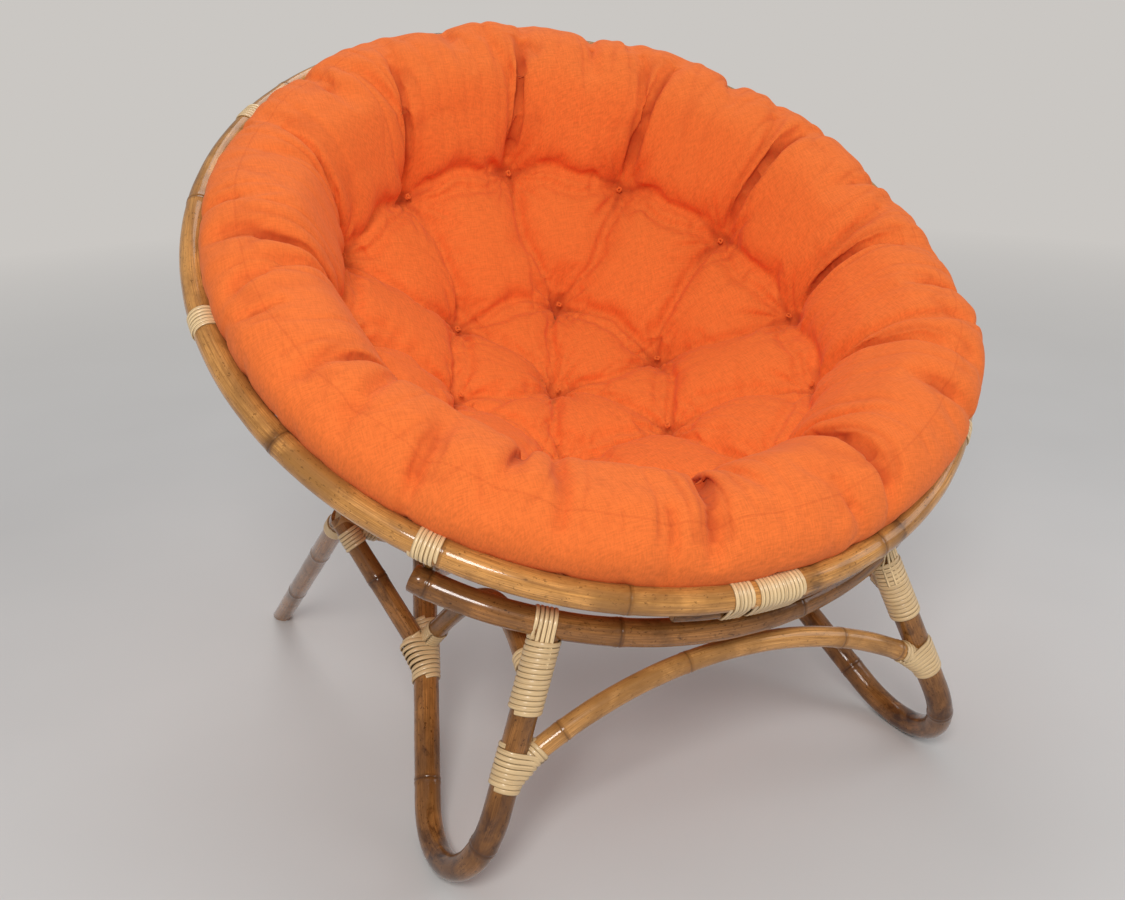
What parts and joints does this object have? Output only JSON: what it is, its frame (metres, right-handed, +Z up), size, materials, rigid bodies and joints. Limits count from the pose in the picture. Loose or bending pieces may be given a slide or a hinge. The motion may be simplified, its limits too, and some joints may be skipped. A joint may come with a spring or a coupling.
{
  "type": "papasan chair",
  "caption": "Round bowl chair: a tilted hoop with ribs and rings, resting loose in a tied stand of bent poles, with a thick tufted pad.",
  "frame": {"origin": "on the floor, under the middle of the chair's outer box", "axes": "+X to the right as seen from the front, +Y to the back of the chair, +Z up"},
  "size_m": [1.1216, 0.9732, 0.9976],
  "materials": {
    "honey_pole": "glossy",
    "dark_pole": "glossy",
    "pale_pole": "satin",
    "pale_cane": "satin",
    "orange_linen": "woven"
  },
  "bodies": {
    "stand": {"seat_rail": "dark_pole", "saddle_rail": "pale_pole", "leg_loop_left": "dark_pole", "leg_loop_right": "dark_pole", "leg_lashing_left": "pale_cane", "leg_lashing_right": "pale_cane", "arch_lashing_left": "pale_cane", "arch_lashing_right": "pale_cane", "knee_lashing_left": "pale_cane", "knee_lashing_right": "pale_cane", "front_arch": "pale_pole", "rear_leg_left": "dark_pole", "rear_leg_right": "dark_pole", "rear_brace_left": "dark_pole", "rear_brace_right": "dark_pole", "side_arch_left": "dark_pole", "side_arch_right": "dark_pole", "rail_strap_left": "pale_cane", "rail_strap_right": "pale_cane", "saddle_tie_left": "pale_cane", "saddle_tie_right": "pale_cane", "apex_strap_left": "pale_cane", "apex_strap_right": "pale_cane"},
    "bowl": {"hoop": "honey_pole", "hoop_joint_batten": "dark_pole", "splice_lashing_1": "pale_cane", "splice_lashing_2": "pale_cane", "hoop_lashing_1": "pale_cane", "hoop_lashing_2": "pale_cane", "hoop_lashing_3": "pale_cane", "hoop_lashing_4": "pale_cane", "hoop_lashing_5": "pale_cane", "hoop_lashing_6": "pale_cane", "hoop_lashing_8": "pale_cane", "bottom_ring": "honey_pole", "middle_ring": "honey_pole", "rib_1": "honey_pole", "rib_2": "honey_pole", "rib_3": "honey_pole", "rib_4": "honey_pole", "rib_5": "honey_pole", "rib_6": "honey_pole", "rib_7": "honey_pole", "rib_8": "honey_pole", "ring_tie_1": "pale_cane", "ring_tie_2": "pale_cane", "ring_tie_3": "pale_cane", "ring_tie_4": "pale_cane", "ring_tie_5": "pale_cane", "ring_tie_6": "pale_cane", "ring_tie_7": "pale_cane", "ring_tie_8": "pale_cane"},
    "pad": {"seat_pad": "orange_linen"}
  },
  "joints": [
    {"name": "bowl_lift", "type": "slide", "parent": "stand", "child": "bowl", "axis": [0, 0, 1], "range_m": [0, 0.3]},
    {"name": "pad_lift", "type": "slide", "parent": "bowl", "child": "pad", "axis": [0, -0.527, 0.8499], "range_m": [0, 0.25]}
  ]
}
